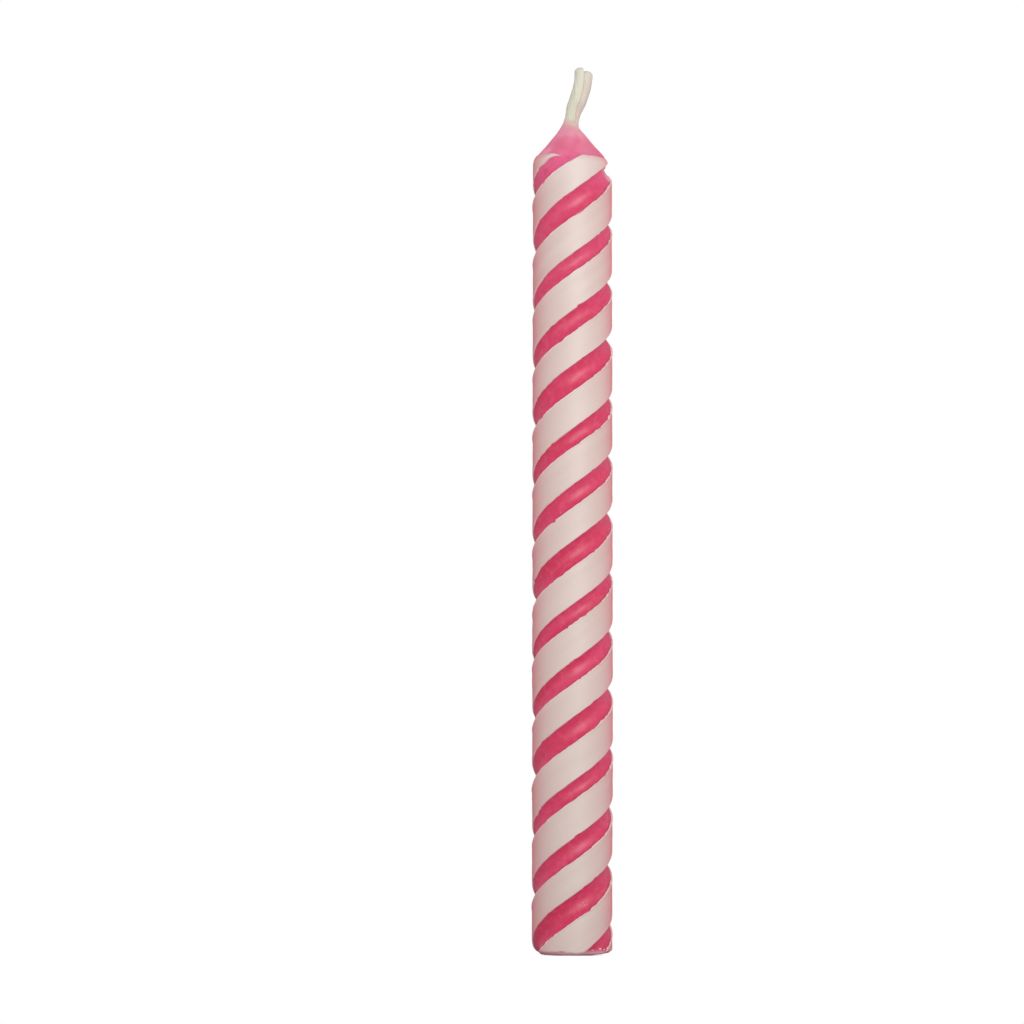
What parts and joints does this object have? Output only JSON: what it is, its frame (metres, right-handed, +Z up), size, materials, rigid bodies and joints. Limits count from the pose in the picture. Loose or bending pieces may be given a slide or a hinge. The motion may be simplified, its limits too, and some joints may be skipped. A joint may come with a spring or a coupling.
{
  "type": "birthday candle",
  "caption": "Slim spiral birthday candle: pink fluted wax rod with white wax stripes on its crests, a cut cone tip and a cotton wick that bends.",
  "frame": {"origin": "centre of the flat base, on the surface that the candle stands on", "axes": "+Z up along the candle to the wick; the front faces -Y; +X to the right as seen from the front, the side that the wick leans to"},
  "size_m": [0.0058, 0.0058, 0.0635],
  "materials": {
    "pink_wax": "semi-gloss paraffin wax, deep pink",
    "white_wax": "thin satin coat of white wax, pink showing faintly through",
    "wick_cotton": "waxed cream cotton yarn"
  },
  "bodies": {
    "candle": {"wax_body": "pink_wax", "white_stripe_1": "white_wax", "white_stripe_2": "white_wax", "white_stripe_3": "white_wax", "wick_ply_1": "wick_cotton", "wick_ply_2": "wick_cotton", "wick_ply_3": "wick_cotton"},
    "wick_end": {"wick_end_ply_1": "wick_cotton", "wick_end_ply_2": "wick_cotton", "wick_end_ply_3": "wick_cotton"}
  },
  "joints": [
    {"name": "wick_bend", "type": "hinge", "parent": "candle", "child": "wick_end", "pos_m": [0, 0, 0.0596], "axis": [0, 1, 0], "range_deg": [-60, 35]}
  ]
}
